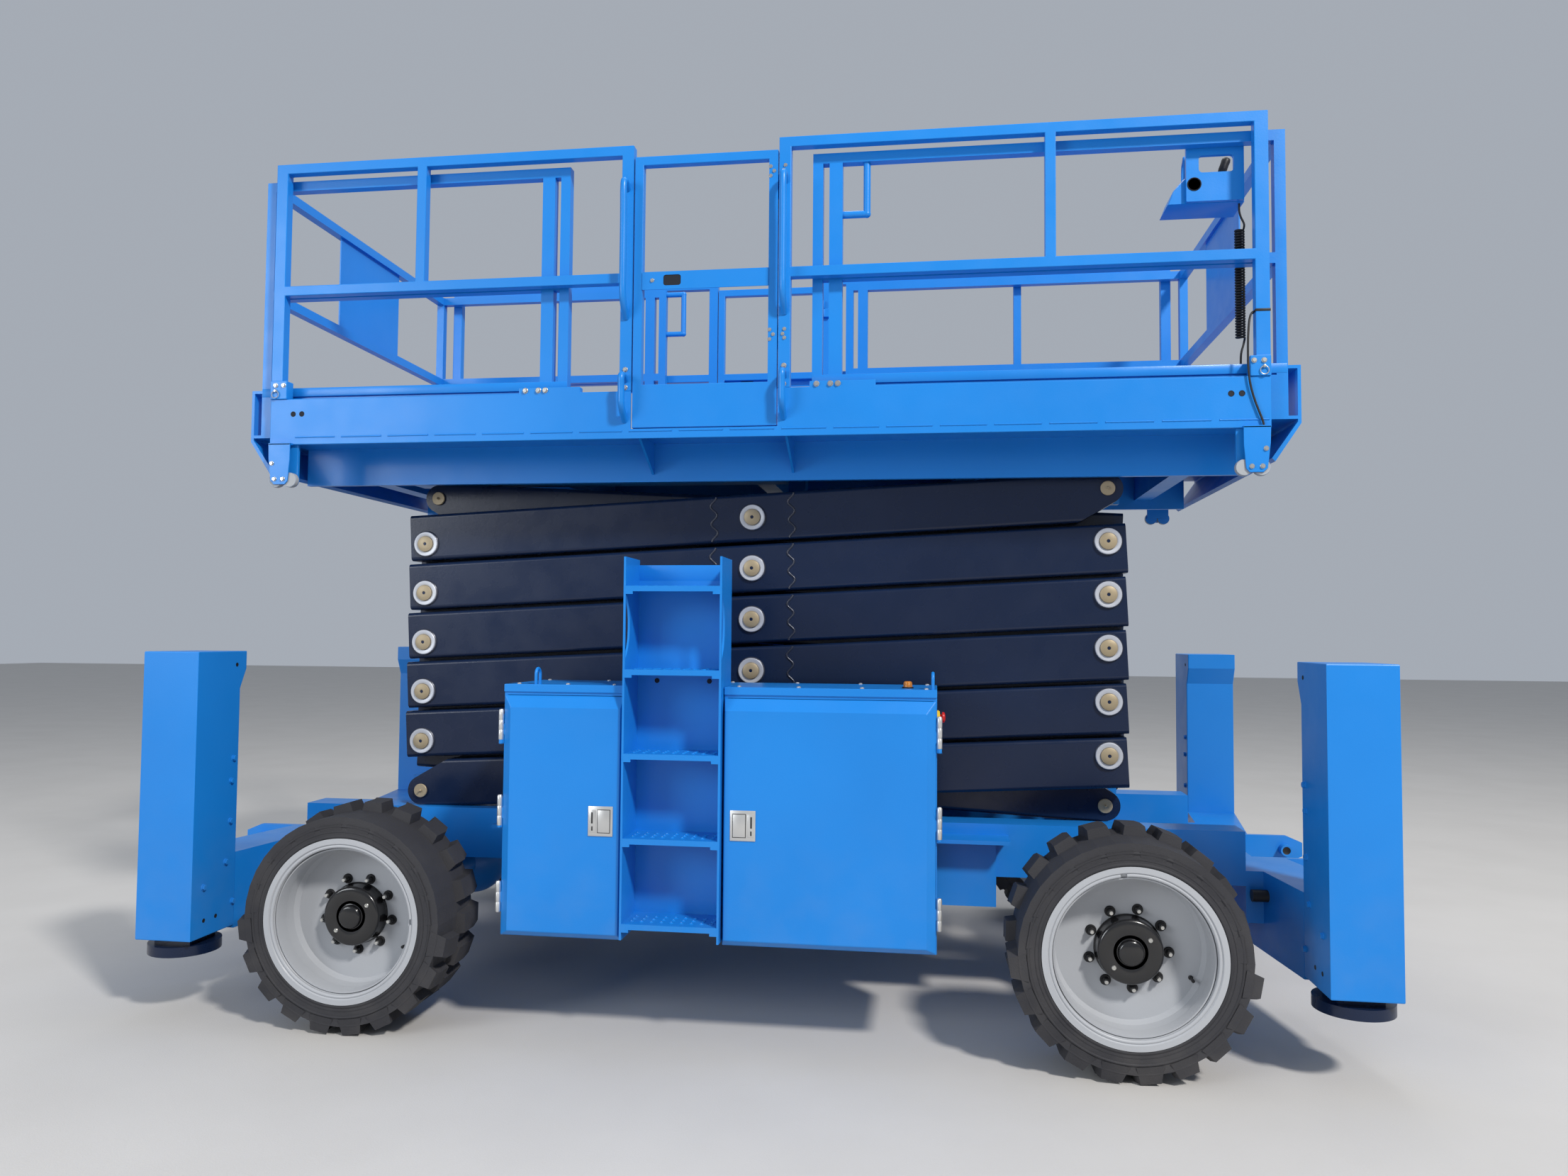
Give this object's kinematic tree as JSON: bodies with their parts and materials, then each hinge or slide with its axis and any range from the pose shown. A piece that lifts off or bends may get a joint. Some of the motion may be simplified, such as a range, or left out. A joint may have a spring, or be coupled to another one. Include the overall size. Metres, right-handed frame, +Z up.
{
  "type": "rough-terrain scissor lift",
  "caption": "Rough-terrain scissor lift: a wheeled chassis with outriggers and side cabinets lifts a railed platform on stacked crossed arms.",
  "frame": {"origin": "on the ground under the middle of the machine", "axes": "+X to the steered front, +Y to the far side, +Z up"},
  "size_m": [4.828, 2.39, 3.447],
  "materials": {
    "azure_paint": "gloss",
    "arm_paint": "gloss",
    "tyre_rubber": "matte",
    "rim_paint": "satin",
    "leg_paint": "satin",
    "rod_chrome": "polished",
    "engine_iron": "matte",
    "cable_jacket": "matte"
  },
  "bodies": {
    "chassis": {"chassis_frame": "azure_paint", "front_axle": "azure_paint", "rear_axle": "azure_paint", "cabinet_near": "azure_paint", "cabinet_far": "azure_paint", "ladders": "azure_paint", "engine_block": "engine_iron", "outrigger_housings": "azure_paint", "front_outrigger_frame": "azure_paint", "rear_outrigger_frame": "azure_paint"},
    "door_near_rear": {"door_near_rear": "azure_paint"},
    "door_near_front": {"door_near_front": "azure_paint"},
    "door_far_rear": {"door_far_rear": "azure_paint"},
    "door_far_front": {"door_far_front": "azure_paint"},
    "knuckle_near": {"knuckle_near": "azure_paint"},
    "knuckle_far": {"knuckle_far": "azure_paint"},
    "road_wheel_front_near": {"tyre_front_near": "tyre_rubber", "wheel_front_near": "rim_paint"},
    "road_wheel_front_far": {"tyre_front_far": "tyre_rubber", "wheel_front_far": "rim_paint"},
    "road_wheel_rear_near": {"tyre_rear_near": "tyre_rubber", "wheel_rear_near": "rim_paint"},
    "road_wheel_rear_far": {"tyre_rear_far": "tyre_rubber", "wheel_rear_far": "rim_paint"},
    "outrigger_leg_front_near": {"outrigger_leg_front_near": "leg_paint"},
    "outrigger_leg_front_far": {"outrigger_leg_front_far": "leg_paint"},
    "outrigger_leg_rear_near": {"outrigger_leg_rear_near": "leg_paint"},
    "outrigger_leg_rear_far": {"outrigger_leg_rear_far": "leg_paint"},
    "inner_arms_1": {"inner_arms_1": "arm_paint"},
    "outer_arms_1": {"outer_arms_1": "arm_paint"},
    "inner_arms_2": {"inner_arms_2": "arm_paint"},
    "outer_arms_2": {"outer_arms_2": "arm_paint"},
    "inner_arms_3": {"inner_arms_3": "arm_paint"},
    "outer_arms_3": {"outer_arms_3": "arm_paint"},
    "inner_arms_4": {"inner_arms_4": "arm_paint"},
    "outer_arms_4": {"outer_arms_4": "arm_paint"},
    "inner_arms_5": {"inner_arms_5": "arm_paint"},
    "outer_arms_5": {"outer_arms_5": "arm_paint"},
    "inner_arms_6": {"inner_arms_6": "arm_paint"},
    "outer_arms_6": {"outer_arms_6": "arm_paint"},
    "platform": {"platform_deck": "azure_paint", "platform_fascia": "azure_paint", "guard_rails": "azure_paint", "grab_handles": "azure_paint"},
    "lower_barrel": {"lower_barrel": "leg_paint"},
    "lower_rod": {"lower_rod": "rod_chrome"},
    "upper_barrel": {"upper_barrel": "leg_paint"},
    "upper_rod": {"upper_rod": "rod_chrome"},
    "gate_near": {"gate_near": "azure_paint"},
    "gate_far": {"gate_far": "azure_paint"},
    "rear_extension": {"rear_extension": "azure_paint"},
    "front_extension": {"front_extension": "azure_paint", "control_box": "azure_paint", "control_cable": "cable_jacket"}
  },
  "joints": [
    {"name": "door_near_rear_hinge", "type": "hinge", "parent": "chassis", "child": "door_near_rear", "pos_m": [-0.847, -1.107, 0.825], "axis": [0, 0, -1], "range_deg": [0, 100]},
    {"name": "door_near_front_hinge", "type": "hinge", "parent": "chassis", "child": "door_near_front", "pos_m": [0.777, -1.107, 0.825], "axis": [0, 0, 1], "range_deg": [0, 100]},
    {"name": "door_far_rear_hinge", "type": "hinge", "parent": "chassis", "child": "door_far_rear", "pos_m": [-0.847, 1.107, 0.825], "axis": [0, 0, 1], "range_deg": [0, 100]},
    {"name": "door_far_front_hinge", "type": "hinge", "parent": "chassis", "child": "door_far_front", "pos_m": [0.777, 1.107, 0.825], "axis": [0, 0, -1], "range_deg": [0, 100]},
    {"name": "steer_near", "type": "hinge", "parent": "chassis", "child": "knuckle_near", "pos_m": [1.425, -0.86, 0.419], "axis": [0, 0, 1], "range_deg": [-30, 30]},
    {"name": "steer_far", "type": "hinge", "parent": "chassis", "child": "knuckle_far", "pos_m": [1.425, 0.86, 0.419], "axis": [0, 0, 1], "range_deg": [-30, 30]},
    {"name": "roll_front_near", "type": "hinge", "parent": "knuckle_near", "child": "road_wheel_front_near", "pos_m": [1.425, -1.045, 0.419], "axis": [0, 1, 0], "continuous": true},
    {"name": "roll_front_far", "type": "hinge", "parent": "knuckle_far", "child": "road_wheel_front_far", "pos_m": [1.425, 1.045, 0.419], "axis": [0, 1, 0], "continuous": true},
    {"name": "roll_rear_near", "type": "hinge", "parent": "chassis", "child": "road_wheel_rear_near", "pos_m": [-1.425, -1.045, 0.419], "axis": [0, 1, 0], "continuous": true},
    {"name": "roll_rear_far", "type": "hinge", "parent": "chassis", "child": "road_wheel_rear_far", "pos_m": [-1.425, 1.045, 0.419], "axis": [0, 1, 0], "continuous": true},
    {"name": "leg_front_near", "type": "slide", "parent": "chassis", "child": "outrigger_leg_front_near", "axis": [0, 0, -1], "range_m": [0, 0.45]},
    {"name": "leg_front_far", "type": "slide", "parent": "chassis", "child": "outrigger_leg_front_far", "axis": [0, 0, -1], "range_m": [0, 0.45]},
    {"name": "leg_rear_near", "type": "slide", "parent": "chassis", "child": "outrigger_leg_rear_near", "axis": [0, 0, -1], "range_m": [0, 0.45]},
    {"name": "leg_rear_far", "type": "slide", "parent": "chassis", "child": "outrigger_leg_rear_far", "axis": [0, 0, -1], "range_m": [0, 0.45]},
    {"name": "lift", "type": "hinge", "parent": "chassis", "child": "inner_arms_1", "pos_m": [1.44605, 0, 0.81], "axis": [0, 1, 0], "range_deg": [0, 57]},
    {"name": "centre_pin_1", "type": "hinge", "parent": "inner_arms_1", "child": "outer_arms_1", "pos_m": [0, 0, 0.917], "axis": [0, -1, 0], "range_deg": [0, 114.01]},
    {"name": "front_pin_1", "type": "hinge", "parent": "outer_arms_1", "child": "inner_arms_2", "pos_m": [1.44605, 0, 1.024], "axis": [0, 1, 0], "range_deg": [0, 114.01]},
    {"name": "centre_pin_2", "type": "hinge", "parent": "inner_arms_2", "child": "outer_arms_2", "pos_m": [0, 0, 1.131], "axis": [0, -1, 0], "range_deg": [0, 114.01]},
    {"name": "front_pin_2", "type": "hinge", "parent": "outer_arms_2", "child": "inner_arms_3", "pos_m": [1.44605, 0, 1.238], "axis": [0, 1, 0], "range_deg": [0, 114.01]},
    {"name": "centre_pin_3", "type": "hinge", "parent": "inner_arms_3", "child": "outer_arms_3", "pos_m": [0, 0, 1.345], "axis": [0, -1, 0], "range_deg": [0, 114.01]},
    {"name": "front_pin_3", "type": "hinge", "parent": "outer_arms_3", "child": "inner_arms_4", "pos_m": [1.44605, 0, 1.452], "axis": [0, 1, 0], "range_deg": [0, 114.01]},
    {"name": "centre_pin_4", "type": "hinge", "parent": "inner_arms_4", "child": "outer_arms_4", "pos_m": [0, 0, 1.559], "axis": [0, -1, 0], "range_deg": [0, 114.01]},
    {"name": "front_pin_4", "type": "hinge", "parent": "outer_arms_4", "child": "inner_arms_5", "pos_m": [1.44605, 0, 1.666], "axis": [0, 1, 0], "range_deg": [0, 114.01]},
    {"name": "centre_pin_5", "type": "hinge", "parent": "inner_arms_5", "child": "outer_arms_5", "pos_m": [0, 0, 1.773], "axis": [0, -1, 0], "range_deg": [0, 114.01]},
    {"name": "front_pin_5", "type": "hinge", "parent": "outer_arms_5", "child": "inner_arms_6", "pos_m": [1.44605, 0, 1.88], "axis": [0, 1, 0], "range_deg": [0, 114.01]},
    {"name": "centre_pin_6", "type": "hinge", "parent": "inner_arms_6", "child": "outer_arms_6", "pos_m": [0, 0, 1.987], "axis": [0, -1, 0], "range_deg": [0, 114.01]},
    {"name": "platform_pin", "type": "hinge", "parent": "outer_arms_6", "child": "platform", "pos_m": [1.44605, 0, 2.094], "axis": [0, 1, 0], "range_deg": [0, 57.01]},
    {"name": "lower_barrel_pin", "type": "hinge", "parent": "inner_arms_1", "child": "lower_barrel", "pos_m": [0.24965, 0, 0.90371], "axis": [0, -1, 0], "range_deg": [0, 121.36]},
    {"name": "lower_rod_slide", "type": "slide", "parent": "lower_barrel", "child": "lower_rod", "axis": [0.9998, 0, 0.0211], "range_m": [0, 0.3811]},
    {"name": "upper_barrel_pin", "type": "hinge", "parent": "inner_arms_4", "child": "upper_barrel", "pos_m": [0.24965, 0, 1.54571], "axis": [0, -1, 0], "range_deg": [0, 121.36]},
    {"name": "upper_rod_slide", "type": "slide", "parent": "upper_barrel", "child": "upper_rod", "axis": [0.9998, 0, 0.0211], "range_m": [0, 0.3811]},
    {"name": "gate_near_hinge", "type": "hinge", "parent": "platform", "child": "gate_near", "pos_m": [0.15, -0.812, 2.85], "axis": [0, 0, -1], "range_deg": [0, 90]},
    {"name": "gate_far_hinge", "type": "hinge", "parent": "platform", "child": "gate_far", "pos_m": [0.15, 0.812, 2.85], "axis": [0, 0, 1], "range_deg": [0, 90]},
    {"name": "rear_extension_slide", "type": "slide", "parent": "platform", "child": "rear_extension", "axis": [-1, 0, 0], "range_m": [0, 0.9]},
    {"name": "front_extension_slide", "type": "slide", "parent": "platform", "child": "front_extension", "axis": [1, 0, 0], "range_m": [0, 0.9]}
  ],
  "couplings": [
    {"joint": "steer_far", "follows": "steer_near", "ratio": 1},
    {"joint": "centre_pin_1", "follows": "lift", "ratio": 2},
    {"joint": "front_pin_1", "follows": "lift", "ratio": 2},
    {"joint": "centre_pin_2", "follows": "lift", "ratio": 2},
    {"joint": "front_pin_2", "follows": "lift", "ratio": 2},
    {"joint": "centre_pin_3", "follows": "lift", "ratio": 2},
    {"joint": "front_pin_3", "follows": "lift", "ratio": 2},
    {"joint": "centre_pin_4", "follows": "lift", "ratio": 2},
    {"joint": "front_pin_4", "follows": "lift", "ratio": 2},
    {"joint": "centre_pin_5", "follows": "lift", "ratio": 2},
    {"joint": "front_pin_5", "follows": "lift", "ratio": 2},
    {"joint": "centre_pin_6", "follows": "lift", "ratio": 2},
    {"joint": "platform_pin", "follows": "lift", "ratio": 1},
    {"joint": "lower_barrel_pin", "follows": "lift", "ratio": 2.1289},
    {"joint": "lower_rod_slide", "follows": "lift", "m_per_rad": 0.38259},
    {"joint": "upper_barrel_pin", "follows": "lift", "ratio": 2.1289},
    {"joint": "upper_rod_slide", "follows": "lift", "m_per_rad": 0.38259}
  ]
}
